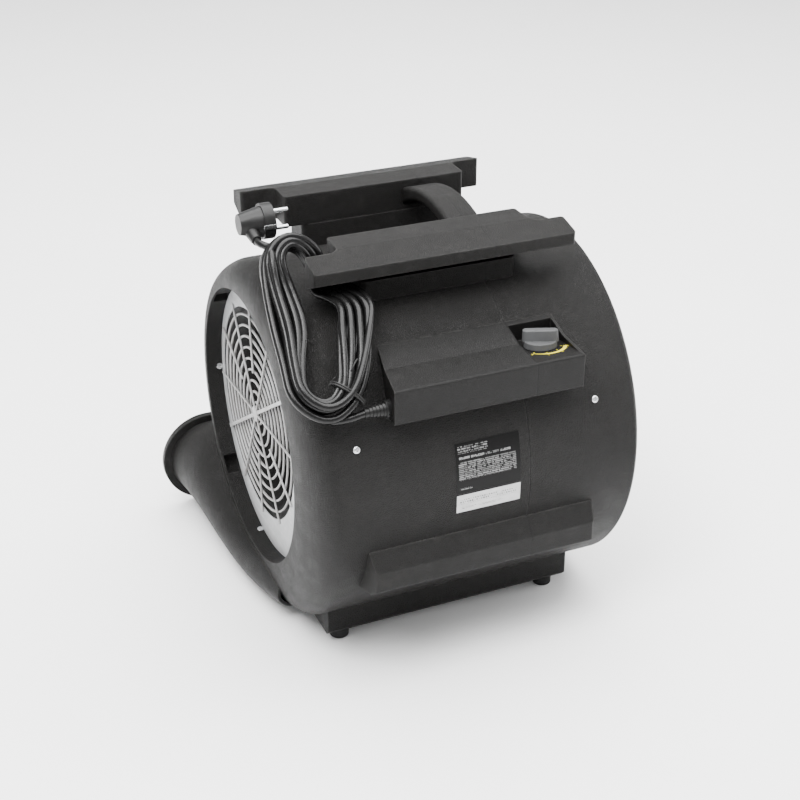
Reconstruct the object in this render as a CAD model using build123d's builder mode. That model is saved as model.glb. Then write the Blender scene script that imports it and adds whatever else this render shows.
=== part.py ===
"""Double-inlet centrifugal blower in a moulded drum housing, millimetres.

Frame: +X along the fan axis, -Y towards the switch side, +Y towards the outlet, +Z up.
The origin is on the floor, below the middle of the object.
"""
import os
from math import cos, pi, radians, sin, tan

from build123d import *

os.makedirs("parts", exist_ok=True)

# Drum
WALL = 4.0
DRUM_Y, DRUM_Z = -16.0, 214.0
DRUM_R = 206.0
DRUM_LEFT, RIM_LEFT = 190.0, 30.0
DRUM_RIGHT, RIM_RIGHT = 196.0, 13.0
SEAM_X = 53.0

# Intake recess, opening and fan axis
RECESS_Y, RECESS_Z, RECESS_R = 10.0, 220.0, 160.0
RECESS_EDGE_R = 4.0
PLATE_X = 170.0
PLATE_T = 1.5
LEDGE_R, LEDGE_T = 152.0, 4.5
NOTCH_R, NOTCH_AT_R, NOTCH_X = 12.0, 161.0, 187.0
FAN_Y, FAN_Z = 34.5, 220.0
OPENING_R = 126.0

# Impeller
WHEEL_R, WHEEL_INNER_R, WHEEL_HALF = 122.0, 102.0, 122.0
RING_T = 2.0
DISC_T = 2.0
HUB_R, HUB_LENGTH = 22.0, 36.0
SHAFT_R = 8.0
SHAFT_PLAY = 0.05
BLADES = 36
BLADE_T = 1.2
THROAT_R = 98.0
CONE_X = 126.0
CONE_FLANGE_R = OPENING_R + 7.0

# Motor, on the right-hand side of the centre disc
MOTOR_R = 62.0
CASE_X0, CASE_X1 = 62.0, 134.0
BELL_L_END, BELL_R_END = 42.0, 150.0
BOSS_R = 28.0
SPIDER_X = PLATE_X + 0.2
SPIDER_T = 3.0
SPIDER_BOLT_R = 130.5

# Outlet duct: (y, half width, end radius, centre height) of its outside
DUCT_STATIONS = [
    (-75, 190, 20, 40), (13, 207, 23, 34), (60, 212, 27, 37), (104, 217, 38, 47), (222, 232, 52, 64),
]
PORT_HALF, PORT_R, PORT_Y0 = 155.0, 20.0, 20.0
PORT_Z0, PORT_Z1 = 20.0, 84.0
MOUTH_Y0, MOUTH_Y1 = 222.0, 232.0
LIP_HALF, LIP_R, LIP_Z = 242.0, 61.0, 64.0
GRILLE_Y = 168.0

# Top rails, mirror images about the plane y = RAIL_MID
RAIL_MID = 14.0
RAIL_HALF, BLOCK_HALF = 150.0, 111.0
RAIL_OUT, RAIL_TAB_IN, RAIL_IN = 137.0, 105.0, 66.0
RAIL_SECTION = [(137, 439), (137, 452), (100, 461), (66, 461), (66, 425), (107, 425)]
NECK_HALF, NECK_OUT, NECK_IN = 90.0, 114.0, 66.0
RAIL_FLOOR = 425.0
HANDLE_X0, HANDLE_X1, HANDLE_T = 33.0, 73.0, 15.0

# Switch box on the rear of the drum
BOX_X0, BOX_X1 = -106.0, 110.0
BOX_X0_IN = -92.5
BOX_REAR, BOX_BACK = -224.0, -146.0
BOX_Z0, BOX_Z1 = 321.0, 359.5
BOX_WALL = 3.0
PLATFORM_X0, PLATFORM_X1 = 55.0, 107.0
PLATFORM_TILT = 6.9
KNOB_X, KNOB_Y = 81.0, -179.0
KNOB_R, KNOB_BASE_R = 19.5, 18.0

# Rear bar and base
BAR_HALF = 130.0
BASE_HALF, BASE_REAR, BASE_FRONT, BASE_Z = 152.0, -139.0, -60.0, 14.0
FOOT_R = 11.0

# Mains cord
CORD_D = 8.0

drum_plane = Plane(origin=(0, DRUM_Y, DRUM_Z), x_dir=(0, 1, 0), z_dir=(1, 0, 0))
fan_plane = Plane(origin=(0, FAN_Y, FAN_Z), x_dir=(0, 1, 0), z_dir=(1, 0, 0))
recess_plane = Plane(origin=(0, RECESS_Y, RECESS_Z), x_dir=(0, 1, 0), z_dir=(1, 0, 0))
fan_axis = Axis((0, FAN_Y, FAN_Z), (1, 0, 0))


def save(builder, name):
    """Label a finished piece and write its STEP file."""
    builder.part.label = name
    export_step(builder.part, f"parts/{name}.step")


def mirrored_x(shape):
    return mirror(shape, about=Plane.YZ)


def mirrored_rail(shape):
    return mirror(shape, about=Plane.XZ.offset(-RAIL_MID))


# ---------------------------------------------------------------- drum solids
def drum_solid(inset):
    """The closed drum, its radius and ends moved in by inset, with wide rolled rims."""
    steps = 4
    flat_r = RECESS_R + RECESS_EDGE_R + 3.0 - inset
    left_x = DRUM_LEFT - RIM_LEFT
    right_x = DRUM_RIGHT - RIM_RIGHT
    with BuildPart() as drum:
        with BuildSketch(drum_plane.offset(-left_x)):
            Circle(DRUM_R - inset)
        extrude(amount=left_x + right_x)
        for side, inner_x, rim in ((-1, left_x, RIM_LEFT), (1, right_x, RIM_RIGHT)):
            for step in range(steps + 1):
                turn = pi / 2 * step / steps
                share = 1 - cos(turn)
                plane = drum_plane.offset(side * (inner_x + (rim - inset) * sin(turn)))
                with BuildSketch(plane):
                    with Locations(((RECESS_Y - DRUM_Y) * share, (RECESS_Z - DRUM_Z) * share)):
                        Circle(DRUM_R - inset + (flat_r - DRUM_R + inset) * share)
            loft()
    return drum.part


def recess_solid(radius, x0, x1):
    """Two discs on the recess centre, one at each end of the drum."""
    with BuildPart() as discs:
        with BuildSketch(recess_plane.offset(x0)):
            Circle(radius)
        extrude(amount=x1 - x0)
        mirror(about=Plane.YZ)
    return discs.part


def notch_solid(radius, x0, x1):
    """Four short cylinders on the recess wall at each end of the drum."""
    with BuildPart() as notches:
        with BuildSketch(recess_plane.offset(x0)):
            with PolarLocations(NOTCH_AT_R, 4, start_angle=45):
                Circle(radius)
        extrude(amount=x1 - x0)
        mirror(about=Plane.YZ)
    return notches.part


def duct_solid(inset):
    """The outlet duct's loft, its sections moved in by inset."""
    with BuildPart() as duct:
        for y, half, radius, height in DUCT_STATIONS:
            plane = Plane(origin=(0, y, height), x_dir=(1, 0, 0), z_dir=(0, -1, 0))
            with BuildSketch(plane):
                SlotOverall(2 * (half - inset), 2 * (radius - inset))
        loft()
    return duct.part


drum_outer = drum_solid(0)
drum_inner = drum_solid(WALL)
duct_outer = duct_solid(0)
duct_inner = duct_solid(WALL)
LEDGE_X = PLATE_X - PLATE_T
with BuildPart() as cup_outer:
    add(recess_solid(RECESS_R + WALL, LEDGE_X - LEDGE_T, DRUM_RIGHT + 1))
    add(notch_solid(NOTCH_R + WALL, LEDGE_X - LEDGE_T, DRUM_LEFT))

with BuildPart() as cup_inner:
    add(recess_solid(LEDGE_R, LEDGE_X - LEDGE_T, DRUM_LEFT))
    with BuildSketch(fan_plane.offset(LEDGE_X - LEDGE_T)):
        Circle(CONE_FLANGE_R + 1)
    extrude(amount=LEDGE_T)
    with BuildSketch(fan_plane.offset(-LEDGE_X)):
        Circle(CONE_FLANGE_R + 1)
    extrude(amount=LEDGE_T)
    add(recess_solid(RECESS_R, LEDGE_X, DRUM_RIGHT + 2))
    add(notch_solid(NOTCH_R, LEDGE_X, NOTCH_X))

# ---------------------------------------------------------------- switch box envelope
box_top = [(BOX_REAR, BOX_Z0), (BOX_REAR, BOX_Z1), (-180, 362.5), (BOX_BACK, 373.5), (BOX_BACK, BOX_Z0)]
box_plan = [(BOX_X0, BOX_REAR), (BOX_X1, BOX_REAR), (BOX_X1, BOX_BACK), (BOX_X0_IN, BOX_BACK)]


def prism_x(points, x0, x1):
    """A section in the YZ plane, extruded along X."""
    with BuildPart() as prism:
        with BuildSketch(Plane.YZ.offset(x0)):
            with BuildLine():
                Polyline(*points, close=True)
            make_face()
        extrude(amount=x1 - x0)
    return prism.part


def prism_z(points, z0, z1):
    """A plan outline in the XY plane, extruded up."""
    with BuildPart() as prism:
        with BuildSketch(Plane.XY.offset(z0)):
            with BuildLine():
                Polyline(*points, close=True)
            make_face()
        extrude(amount=z1 - z0)
    return prism.part


with BuildPart() as box_envelope:
    add(prism_x(box_top, BOX_X0, BOX_X1))
    add(prism_z(box_plan, BOX_Z0 - 10, 380), mode=Mode.INTERSECT)
    fillet(box_envelope.edges().filter_by(Axis.X).group_by(Axis.Y)[0], 2.5)

# ---------------------------------------------------------------- fasteners through the drum wall
DRUM_SCREWS_X = (-140.6, 135.5)
DRUM_SCREW_ANGLES = (157.5, 22.5, -30.0)


def drum_screw_planes():
    """Planes on the drum's skin, one for each screw, facing outwards."""
    planes = []
    for angle in DRUM_SCREW_ANGLES:
        out = Vector(0, cos(radians(angle)), sin(radians(angle)))
        for x in DRUM_SCREWS_X:
            origin = Vector(x, DRUM_Y, DRUM_Z) + out * DRUM_R
            planes.append(Plane(origin=origin, x_dir=(1, 0, 0), z_dir=out))
    return planes


with BuildPart() as drum_screws:
    for plane in drum_screw_planes():
        with BuildSketch(plane.offset(-8)):
            Circle(2.0)
        extrude(amount=8)
        with BuildSketch(plane):
            Circle(4.0)
        extrude(amount=2.4)
save(drum_screws, "drum_screws")

# ---------------------------------------------------------------- housing shells
with BuildPart() as cavity:
    add(drum_inner)
    add(cup_outer.part, mode=Mode.SUBTRACT)

port_plane = Plane(origin=(0, PORT_Y0, (PORT_Z0 + PORT_Z1) / 2), x_dir=(1, 0, 0), z_dir=(0, 1, 0))
with BuildPart() as outlet_port:
    with BuildSketch(port_plane):
        RectangleRounded(2 * PORT_HALF, PORT_Z1 - PORT_Z0, PORT_R)
    extrude(amount=DRUM_R)

with BuildPart() as housing:
    add(drum_outer)
    add(cavity.part, mode=Mode.SUBTRACT)
    add(cup_inner.part, mode=Mode.SUBTRACT)
    add(outlet_port.part, mode=Mode.SUBTRACT)
    add(box_envelope.part, mode=Mode.SUBTRACT)
    add(drum_screws.part, mode=Mode.SUBTRACT)

with BuildPart() as housing_left:
    add(housing.part)
    split(bisect_by=Plane.YZ.offset(SEAM_X), keep=Keep.BOTTOM)
save(housing_left, "housing_left")

with BuildPart() as housing_right:
    add(housing.part)
    split(bisect_by=Plane.YZ.offset(SEAM_X), keep=Keep.TOP)
save(housing_right, "housing_right")

with BuildPart() as outlet_duct:
    add(duct_outer)
    add(duct_inner, mode=Mode.SUBTRACT)
    add(drum_outer, mode=Mode.SUBTRACT)
save(outlet_duct, "outlet_duct")

# ---------------------------------------------------------------- outlet collar and grille
def slot_plane(y):
    return Plane(origin=(0, y, LIP_Z), x_dir=(1, 0, 0), z_dir=(0, -1, 0))


MOUTH_HALF, MOUTH_R = 228.0, 48.0
with BuildPart() as outlet_collar:
    with BuildSketch(slot_plane(MOUTH_Y1)):
        SlotOverall(2 * LIP_HALF, 2 * LIP_R)
        SlotOverall(2 * MOUTH_HALF, 2 * MOUTH_R, mode=Mode.SUBTRACT)
    extrude(amount=MOUTH_Y1 - MOUTH_Y0)
    fillet(outlet_collar.edges().group_by(Axis.Y)[-1], 3)
save(outlet_collar, "outlet_collar")

GRILLE_HALF, GRILLE_ROD_PITCH, GRILLE_Z = 190.0, 26.0, 57.0
GRILLE_WIRE_R, GRILLE_PITCH = 1.5, 19.0
with BuildPart() as outlet_grille:
    columns = int(2 * GRILLE_HALF / GRILLE_PITCH) + 1
    with BuildSketch(Plane.XY.offset(GRILLE_Z - 60)):
        with Locations((0, GRILLE_Y)):
            with GridLocations(GRILLE_PITCH, 1, columns, 1):
                Circle(GRILLE_WIRE_R)
    extrude(amount=120)
    with BuildSketch(Plane.YZ.offset(-LIP_HALF)):
        with Locations((GRILLE_Y, GRILLE_Z)):
            with GridLocations(1, GRILLE_ROD_PITCH, 1, 3):
                Circle(GRILLE_WIRE_R + 0.5)
    extrude(amount=2 * LIP_HALF)
    add(duct_inner, mode=Mode.INTERSECT)
save(outlet_grille, "outlet_grille")

# ---------------------------------------------------------------- top rails with cord hooks, necks, handle
RAIL_CORNER, RAIL_NOTCH_R = 4.0, 12.0
rail_profile = [(RAIL_MID - out, z) for out, z in RAIL_SECTION]
rail_plan = [
    (-RAIL_HALF, RAIL_MID - RAIL_OUT), (RAIL_HALF, RAIL_MID - RAIL_OUT), (RAIL_HALF, RAIL_MID - RAIL_TAB_IN),
    (BLOCK_HALF, RAIL_MID - RAIL_TAB_IN), (BLOCK_HALF, RAIL_MID - RAIL_IN), (-BLOCK_HALF, RAIL_MID - RAIL_IN),
    (-BLOCK_HALF, RAIL_MID - RAIL_TAB_IN), (-RAIL_HALF, RAIL_MID - RAIL_TAB_IN),
]


def rail_solid(inset):
    """A top rail's solid: its section along X, cut to the notched plan outline."""
    with BuildPart() as bar:
        with BuildSketch(Plane.YZ.offset(-RAIL_HALF)):
            with BuildLine():
                Polyline(*rail_profile, close=True)
            make_face()
            if inset:
                offset(amount=-inset, mode=Mode.REPLACE)
        extrude(amount=2 * RAIL_HALF)
        with BuildSketch(Plane.XY.offset(RAIL_FLOOR - 10)):
            with BuildLine():
                Polyline(*rail_plan, close=True)
            make_face()
            inner_corners = [(x, RAIL_MID - RAIL_TAB_IN, RAIL_FLOOR - 10) for x in (-BLOCK_HALF, BLOCK_HALF)]
            notches = [vertices().sort_by_distance(corner)[0] for corner in inner_corners]
            others = [corner for corner in vertices() if corner not in notches]
            fillet(others, RAIL_CORNER)
            notches = [vertices().sort_by_distance(corner)[0] for corner in inner_corners]
            fillet(notches, RAIL_NOTCH_R)
            if inset:
                offset(amount=-inset, mode=Mode.REPLACE)
        extrude(amount=60, mode=Mode.INTERSECT)
    return bar.part


rail_outer, rail_void = rail_solid(0), rail_solid(WALL)
with BuildPart() as rear_top_rail:
    add(rail_outer)
    add(rail_void, mode=Mode.SUBTRACT)
save(rear_top_rail, "rear_top_rail")

with BuildPart() as front_top_rail:
    add(mirrored_rail(rear_top_rail.part))
save(front_top_rail, "front_top_rail")

with BuildPart() as rear_neck:
    with BuildSketch(Plane.XY.offset(340)):
        with Locations((0, RAIL_MID - (NECK_OUT + NECK_IN) / 2)):
            RectangleRounded(2 * NECK_HALF, NECK_OUT - NECK_IN, 8)
            RectangleRounded(2 * (NECK_HALF - WALL), NECK_OUT - NECK_IN - 2 * WALL, 5, mode=Mode.SUBTRACT)
    extrude(amount=RAIL_FLOOR - 340)
    add(drum_outer, mode=Mode.SUBTRACT)
save(rear_neck, "rear_rail_neck")

with BuildPart() as front_neck:
    with BuildSketch(Plane.XY.offset(300)):
        with Locations((0, RAIL_MID + (NECK_OUT + NECK_IN) / 2)):
            RectangleRounded(2 * NECK_HALF, NECK_OUT - NECK_IN, 8)
            RectangleRounded(2 * (NECK_HALF - WALL), NECK_OUT - NECK_IN - 2 * WALL, 5, mode=Mode.SUBTRACT)
    extrude(amount=RAIL_FLOOR - 300)
    add(drum_outer, mode=Mode.SUBTRACT)
save(front_neck, "front_rail_neck")

HANDLE_END_Z, HANDLE_CROWN_Z = 452.0, 465.5
handle_y0, handle_y1 = RAIL_MID - RAIL_IN, RAIL_MID + RAIL_IN
with BuildPart() as carry_handle:
    with BuildSketch(Plane.YZ.offset(HANDLE_X0)):
        with BuildLine():
            crown = (RAIL_MID, HANDLE_CROWN_Z)
            top = ThreePointArc((handle_y0, HANDLE_END_Z), crown, (handle_y1, HANDLE_END_Z))
            Line(top @ 1, (handle_y1, HANDLE_END_Z - HANDLE_T - 6))
            ThreePointArc(
                (handle_y1, HANDLE_END_Z - HANDLE_T - 6),
                (RAIL_MID, HANDLE_CROWN_Z - HANDLE_T),
                (handle_y0, HANDLE_END_Z - HANDLE_T - 6),
            )
            Line((handle_y0, HANDLE_END_Z - HANDLE_T - 6), (handle_y0, HANDLE_END_Z))
        make_face()
    extrude(amount=HANDLE_X1 - HANDLE_X0)
    rounded = carry_handle.edges().filter_by(GeomType.CIRCLE)
    fillet(rounded, 5)
save(carry_handle, "carry_handle")

# ---------------------------------------------------------------- rear bar and base
with BuildPart() as rear_stand_bar:
    add(prism_x([(-232, 129), (-232, 153), (-206, 190), (-190, 190), (-190, 118), (-221, 121)], -150, 150))
    add(
        prism_z([(-BAR_HALF, -232), (BAR_HALF, -232), (BAR_HALF + 9, -190), (-BAR_HALF - 9, -190)], 100, 200),
        mode=Mode.INTERSECT,
    )
    fillet(rear_stand_bar.edges().group_by(Axis.Y)[0], 3)
    add(drum_outer, mode=Mode.SUBTRACT)
save(rear_stand_bar, "rear_stand_bar")

BASE_TOP = 70.0
base_section = [
    (BASE_REAR, BASE_Z + 6), (BASE_REAR, BASE_TOP), (BASE_FRONT, BASE_TOP), (BASE_FRONT, BASE_Z),
    (BASE_REAR + 6, BASE_Z),
]
base_inner = [
    (BASE_REAR + WALL, BASE_Z + 8), (BASE_REAR + WALL, BASE_TOP), (BASE_FRONT, BASE_TOP),
    (BASE_FRONT, BASE_Z + WALL), (BASE_REAR + 8, BASE_Z + WALL),
]
with BuildPart() as base_block:
    add(prism_x(base_section, -BASE_HALF, BASE_HALF))
    add(prism_x(base_inner, -BASE_HALF + WALL, BASE_HALF - WALL), mode=Mode.SUBTRACT)
    add(drum_outer, mode=Mode.SUBTRACT)
    add(duct_outer, mode=Mode.SUBTRACT)
save(base_block, "base_block")

# ---------------------------------------------------------------- rubber feet and their screws
FOOT_SPOTS_REAR = [(-132, -120), (132, -120)]
FOOT_SPOTS_FRONT = [(-150, 150), (150, 150)]
DUCT_UNDERSIDE = 10.5
FOOT_BORE_R, FOOT_SINK_R, FOOT_SINK_T = 2.2, 4.6, 4.5
with BuildPart() as rubber_feet:
    with BuildSketch(Plane.XY):
        with Locations(*FOOT_SPOTS_REAR):
            Circle(FOOT_R)
    extrude(amount=BASE_Z)
    with BuildSketch(Plane.XY):
        with Locations(*FOOT_SPOTS_FRONT):
            Circle(FOOT_R)
    extrude(amount=DUCT_UNDERSIDE + 4)
    add(duct_outer, mode=Mode.SUBTRACT)
    fillet(rubber_feet.edges().group_by(Axis.Z)[0], 1.5)
    with BuildSketch(Plane.XY):
        with Locations(*FOOT_SPOTS_REAR, *FOOT_SPOTS_FRONT):
            Circle(FOOT_SINK_R)
    extrude(amount=FOOT_SINK_T, mode=Mode.SUBTRACT)
    with BuildSketch(Plane.XY):
        with Locations(*FOOT_SPOTS_REAR, *FOOT_SPOTS_FRONT):
            Circle(FOOT_BORE_R)
    extrude(amount=BASE_Z, mode=Mode.SUBTRACT)
save(rubber_feet, "rubber_feet")

with BuildPart() as foot_screws:
    with BuildSketch(Plane.XY.offset(1.5)):
        with Locations(*FOOT_SPOTS_REAR, *FOOT_SPOTS_FRONT):
            Circle(FOOT_SINK_R - 0.4)
    extrude(amount=FOOT_SINK_T - 1.5)
    with BuildSketch(Plane.XY.offset(FOOT_SINK_T)):
        with Locations(*FOOT_SPOTS_REAR, *FOOT_SPOTS_FRONT):
            Circle(FOOT_BORE_R - 0.1)
    extrude(amount=2)
save(foot_screws, "foot_screws")

# ---------------------------------------------------------------- intake plates, cones and guards
with BuildPart() as plate_left:
    with BuildSketch(recess_plane.offset(-PLATE_X)):
        Circle(RECESS_R - 0.2)
        with Locations((FAN_Y - RECESS_Y, FAN_Z - RECESS_Z)):
            Circle(OPENING_R, mode=Mode.SUBTRACT)
    extrude(amount=PLATE_T)
save(plate_left, "intake_plate_left")

with BuildPart() as cone_left:
    section = Plane(origin=(0, FAN_Y, FAN_Z), x_dir=(1, 0, 0), z_dir=(0, -1, 0))
    with BuildSketch(section):
        with BuildLine():
            outer = ThreePointArc((-PLATE_X + PLATE_T, OPENING_R + 3), (-150, 107), (-CONE_X, THROAT_R))
            Line(outer @ 1, (-CONE_X, THROAT_R + 1.2))
            flange_corner = (-PLATE_X + PLATE_T + 1.5, CONE_FLANGE_R)
            inner = ThreePointArc((-CONE_X, THROAT_R + 1.2), (-149, 108.2), flange_corner)
            Line(inner @ 1, (-PLATE_X + PLATE_T, CONE_FLANGE_R))
            Line((-PLATE_X + PLATE_T, CONE_FLANGE_R), outer @ 0)
        make_face()
    revolve(axis=fan_axis)
save(cone_left, "inlet_cone_left")

RING_WIRE_R, SPOKE_WIRE_R = 1.4, 1.2
GUARD_RINGS, GUARD_PITCH = 9, 13.0
SPOKE_REACH, SPOKE_FROM, SHORT_SPOKE_FROM = 131.0, 6.0, 52.0
FLAT_BAR_ANGLE, FLAT_BAR_W = -33.0, 4.0
SPOKE_STEP = 30
GUARD_HUB_R = 9.0
SPOKES_LEFT_X = -PLATE_X - SPOKE_WIRE_R
SPOKES_RIGHT_X = SPIDER_X + SPIDER_T + 0.2 + 2 * RING_WIRE_R + SPOKE_WIRE_R

for side, spoke_x in (("left", SPOKES_LEFT_X), ("right", SPOKES_RIGHT_X)):
    ring_x = spoke_x - (1 if spoke_x > 0 else -1) * (SPOKE_WIRE_R + RING_WIRE_R)
    with BuildPart() as guard_rings:
        with BuildSketch(Plane(origin=(ring_x, FAN_Y, FAN_Z), x_dir=(1, 0, 0), z_dir=(0, -1, 0))):
            for ring in range(GUARD_RINGS):
                with Locations((0, GUARD_PITCH * (ring + 1))):
                    Circle(RING_WIRE_R)
        revolve(axis=fan_axis)
    save(guard_rings, f"guard_rings_{side}")

    with BuildPart() as guard_spokes:
        with BuildSketch(fan_plane.offset(spoke_x - 1.5)):
            Circle(GUARD_HUB_R)
        extrude(amount=3)
        for spoke in range(12):
            angle = radians(FLAT_BAR_ANGLE + SPOKE_STEP * spoke)
            along = Vector(0, cos(angle), sin(angle))
            inner_end = SHORT_SPOKE_FROM if spoke % 6 in (2, 4) else SPOKE_FROM
            start = Vector(spoke_x, FAN_Y, FAN_Z) + along * inner_end
            with BuildSketch(Plane(origin=start, x_dir=(1, 0, 0), z_dir=along)):
                if spoke % 6 == 0:
                    Rectangle(2 * SPOKE_WIRE_R, FLAT_BAR_W)
                else:
                    Circle(SPOKE_WIRE_R)
            extrude(amount=SPOKE_REACH - inner_end)
    save(guard_spokes, f"guard_spokes_{side}")

for name, left in (("intake_plate_right", plate_left), ("inlet_cone_right", cone_left)):
    with BuildPart() as right_copy:
        add(mirrored_x(left.part))
    save(right_copy, name)

with BuildPart() as guard_spacers:
    with BuildSketch(fan_plane.offset(PLATE_X)):
        with PolarLocations(SPOKE_REACH - 1, 4, start_angle=FLAT_BAR_ANGLE + 90):
            Circle(3.5)
    extrude(amount=SPOKES_RIGHT_X - SPOKE_WIRE_R - PLATE_X)
save(guard_spacers, "guard_spacers_right")

PLATE_SCREW_ANGLES = (0, 81, 180, 278)
PLATE_SCREW_R, PLATE_SCREW_H = 3.8, 2.4
with BuildPart() as plate_screws:
    for side in (-1, 1):
        for angle in PLATE_SCREW_ANGLES:
            out = Vector(0, cos(radians(angle)), sin(radians(angle)))
            spot = Vector(side * (PLATE_X + PLATE_SCREW_R + 0.1), RECESS_Y, RECESS_Z) + out * (RECESS_R + 0.5)
            with BuildSketch(Plane(origin=spot, x_dir=(1, 0, 0), z_dir=-out)):
                Circle(PLATE_SCREW_R)
            extrude(amount=PLATE_SCREW_H)
    add(recess_solid(RECESS_R, PLATE_X, DRUM_LEFT), mode=Mode.INTERSECT)
save(plate_screws, "plate_screws")

# ---------------------------------------------------------------- impeller
with BuildPart() as impeller_disc:
    with BuildSketch(fan_plane.offset(-DISC_T / 2)):
        Circle(WHEEL_R)
        Circle(SHAFT_R + 6, mode=Mode.SUBTRACT)
        with PolarLocations(60, 6):
            Circle(11, mode=Mode.SUBTRACT)
    extrude(amount=DISC_T)
save(impeller_disc, "impeller_disc")

with BuildPart() as impeller_hub:
    with BuildSketch(fan_plane.offset(DISC_T / 2)):
        Circle(HUB_R)
        Circle(SHAFT_R, mode=Mode.SUBTRACT)
    extrude(amount=6)
    with BuildSketch(fan_plane.offset(-HUB_LENGTH / 2)):
        Circle(SHAFT_R + 6)
        Circle(SHAFT_R, mode=Mode.SUBTRACT)
    extrude(amount=HUB_LENGTH)
    with BuildSketch(Plane(origin=(-HUB_LENGTH / 2 + 7, FAN_Y, FAN_Z), x_dir=(1, 0, 0), z_dir=(0, 0, 1))):
        Circle(2.5)
    extrude(amount=30, mode=Mode.SUBTRACT)
save(impeller_hub, "impeller_hub")

BLADE_OUT, BLADE_IN = WHEEL_R - 1.0, WHEEL_INNER_R + 0.5
with BuildSketch() as blade_profile:
    with BuildLine():
        tip = (BLADE_OUT * cos(radians(7)), BLADE_OUT * sin(radians(7)))
        ThreePointArc((BLADE_IN, 0), ((BLADE_OUT + BLADE_IN) / 2 + 1.0, -1.5), tip)
        offset(amount=BLADE_T / 2, side=Side.BOTH)
    make_face()

for name, x0 in (("blades_left", -WHEEL_HALF + RING_T), ("blades_right", DISC_T / 2)):
    with BuildPart() as blades:
        with BuildSketch(fan_plane.offset(x0)):
            with PolarLocations(0, BLADES):
                add(blade_profile.sketch)
        extrude(amount=WHEEL_HALF - RING_T - DISC_T / 2)
    save(blades, name)

with BuildPart() as impeller_rings:
    for x0 in (-WHEEL_HALF, WHEEL_HALF - RING_T):
        with BuildSketch(fan_plane.offset(x0)):
            Circle(WHEEL_R)
            Circle(WHEEL_INNER_R - 1, mode=Mode.SUBTRACT)
        extrude(amount=RING_T)
save(impeller_rings, "impeller_rings")

# ---------------------------------------------------------------- motor
BEARING_R, BEARING_W = 17.5, 11.0
BELL_WALL = 4.0
with BuildPart() as motor_shaft:
    with BuildSketch(fan_plane.offset(-HUB_LENGTH / 2 - 4)):
        Circle(SHAFT_R - SHAFT_PLAY)
    extrude(amount=BELL_R_END - 4 + HUB_LENGTH / 2 + 4)
    chamfer(motor_shaft.edges().filter_by(GeomType.CIRCLE), 1)
save(motor_shaft, "motor_shaft")

with BuildPart() as motor_case:
    with BuildSketch(fan_plane.offset(CASE_X0)):
        Circle(MOTOR_R)
        Circle(MOTOR_R - 3, mode=Mode.SUBTRACT)
    extrude(amount=CASE_X1 - CASE_X0)
save(motor_case, "motor_case")

with BuildPart() as stator:
    with BuildSketch(fan_plane.offset(CASE_X0 + 12)):
        Circle(MOTOR_R - 3)
        Circle(34, mode=Mode.SUBTRACT)
    extrude(amount=CASE_X1 - CASE_X0 - 24)
save(stator, "motor_stator")

with BuildPart() as rotor:
    with BuildSketch(fan_plane.offset(CASE_X0 + 12)):
        Circle(33.5)
        Circle(SHAFT_R - SHAFT_PLAY, mode=Mode.SUBTRACT)
    extrude(amount=CASE_X1 - CASE_X0 - 24)
save(rotor, "motor_rotor")

bell_section = Plane(origin=(0, FAN_Y, FAN_Z), x_dir=(1, 0, 0), z_dir=(0, -1, 0))


def end_bell(x_case, x_end):
    """A cast cap: a cone down to the bearing pocket, closed round the shaft."""
    way = 1 if x_end > x_case else -1
    pocket = x_end - way * (BEARING_W + BELL_WALL)
    with BuildPart() as bell:
        with BuildSketch(bell_section):
            with BuildLine():
                Polyline(
                    (x_case, MOTOR_R), (x_case + way * 3, MOTOR_R), (x_end, BOSS_R), (x_end, SHAFT_R + 2),
                    (x_end - way * BELL_WALL, SHAFT_R + 2), (x_end - way * BELL_WALL, BEARING_R),
                    (pocket, BEARING_R), (pocket, BEARING_R + 4), (x_case, MOTOR_R - 5), close=True,
                )
            make_face()
        revolve(axis=fan_axis)
    return bell.part


with BuildPart() as bell_left:
    add(end_bell(CASE_X0, BELL_L_END))
save(bell_left, "motor_end_bell_left")

with BuildPart() as bell_right:
    add(end_bell(CASE_X1, BELL_R_END))
save(bell_right, "motor_end_bell_right")

with BuildPart() as bearings:
    for x0 in (BELL_L_END + BELL_WALL, BELL_R_END - BELL_WALL - BEARING_W):
        with BuildSketch(fan_plane.offset(x0)):
            Circle(BEARING_R)
            Circle(SHAFT_R, mode=Mode.SUBTRACT)
        extrude(amount=BEARING_W)
save(bearings, "motor_bearings")

SPIDER_ARM_W, SPIDER_REACH = 16.0, 134.0
SPIDER_TURN = 12.0
with BuildPart() as motor_spider:
    with BuildSketch(fan_plane.offset(SPIDER_X)):
        Circle(BOSS_R + 8)
        with PolarLocations(0, 4, start_angle=SPIDER_TURN):
            with Locations((SPIDER_REACH / 2, 0)):
                Rectangle(SPIDER_REACH, SPIDER_ARM_W)
        with PolarLocations(SPIDER_BOLT_R, 4, start_angle=SPIDER_TURN):
            Circle(2.7, mode=Mode.SUBTRACT)
        Circle(SHAFT_R + 2, mode=Mode.SUBTRACT)
    extrude(amount=SPIDER_T)
    with BuildSketch(fan_plane.offset(BELL_R_END)):
        Circle(BOSS_R - 4)
        Circle(SHAFT_R + 2, mode=Mode.SUBTRACT)
    extrude(amount=SPIDER_X - BELL_R_END)
save(motor_spider, "motor_spider")

with BuildPart() as spider_bolts:
    with BuildSketch(fan_plane.offset(SPIDER_X + SPIDER_T)):
        with PolarLocations(SPIDER_BOLT_R, 4, start_angle=SPIDER_TURN):
            RegularPolygon(4.6, 6)
    extrude(amount=3.5)
    with BuildSketch(fan_plane.offset(SPIDER_X)):
        with PolarLocations(SPIDER_BOLT_R, 4, start_angle=SPIDER_TURN):
            Circle(2.6)
    extrude(amount=SPIDER_T)
save(spider_bolts, "spider_bolts")

# ---------------------------------------------------------------- switch box and what it holds
PLATFORM_Z = 360.0
ALCOVE_BACK = -152.0


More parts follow.
